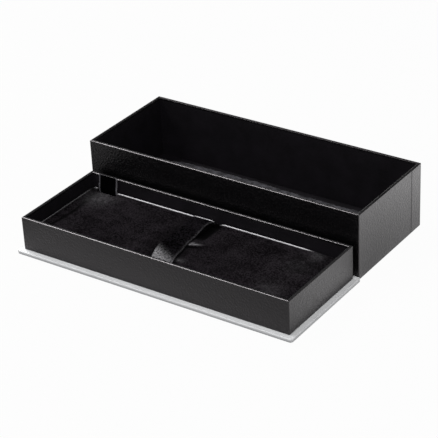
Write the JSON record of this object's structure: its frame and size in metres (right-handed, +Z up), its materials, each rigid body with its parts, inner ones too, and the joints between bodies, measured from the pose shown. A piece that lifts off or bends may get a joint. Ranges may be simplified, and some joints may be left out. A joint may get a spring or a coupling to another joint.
{
  "type": "pen case",
  "caption": "Lift-off gift case for a pen: low tray on a silver plate, velvet insert with a looped strap and lift ribbon, and a deep black lid lying open behind it.",
  "frame": {"origin": "middle of the base plate's underside, on the surface that the case stands on", "axes": "+X along the case to the right, +Y to the rear where the lid lies, +Z up"},
  "size_m": [0.1864, 0.1433, 0.041],
  "materials": {
    "greyboard": "raw greyboard",
    "black_lined_board": "greyboard with a black paper face",
    "silver_paper": "silver-grey satin paper",
    "stay_tape": "kraft tape",
    "black_grain_paper": "black leather-grain embossed paper",
    "black_lining_paper": "matt black paper",
    "foam": "dark foam sheet",
    "black_velvet": "black velvet",
    "strap_velvet": "black velvet strap",
    "sewing_thread": "black thread",
    "satin_ribbon": "black satin",
    "pad_fabric": "dark grey brushed fabric"
  },
  "bodies": {
    "base": {"base_board": "greyboard", "base_cover": "silver_paper", "base_underside_sheet": "silver_paper", "tray_floor_board": "greyboard", "tray_front_wall": "greyboard", "tray_rear_wall": "greyboard", "tray_left_wall": "greyboard", "tray_right_wall": "greyboard", "tray_corner_stays": "stay_tape", "tray_wrap": "black_grain_paper", "tray_lining": "black_lining_paper", "tray_floor_sheet": "black_lining_paper"},
    "insert": {"insert_card": "greyboard", "insert_front_leg": "greyboard", "insert_rear_leg": "greyboard", "insert_foam": "foam", "insert_velvet": "black_velvet", "pen_strap": "strap_velvet", "strap_stitches": "sewing_thread", "lift_ribbon": "satin_ribbon"},
    "lid": {"lid_top_sheet": "black_grain_paper", "lid_top_board": "black_lined_board", "lid_front_wall": "greyboard", "lid_rear_wall": "greyboard", "lid_left_wall": "greyboard", "lid_right_wall": "greyboard", "lid_corner_stays": "stay_tape", "lid_wrap": "black_grain_paper", "lid_lining": "black_lining_paper", "lid_pad_foam": "foam", "lid_pad_cover": "pad_fabric"}
  },
  "joints": [
    {"name": "insert_lift", "type": "slide", "parent": "base", "child": "insert", "axis": [0, 0, 1], "range_m": [0, 0.05]},
    {"name": "lid_lift", "type": "slide", "parent": "base", "child": "lid", "axis": [0, 0, 1], "range_m": [0, 0.1]}
  ]
}
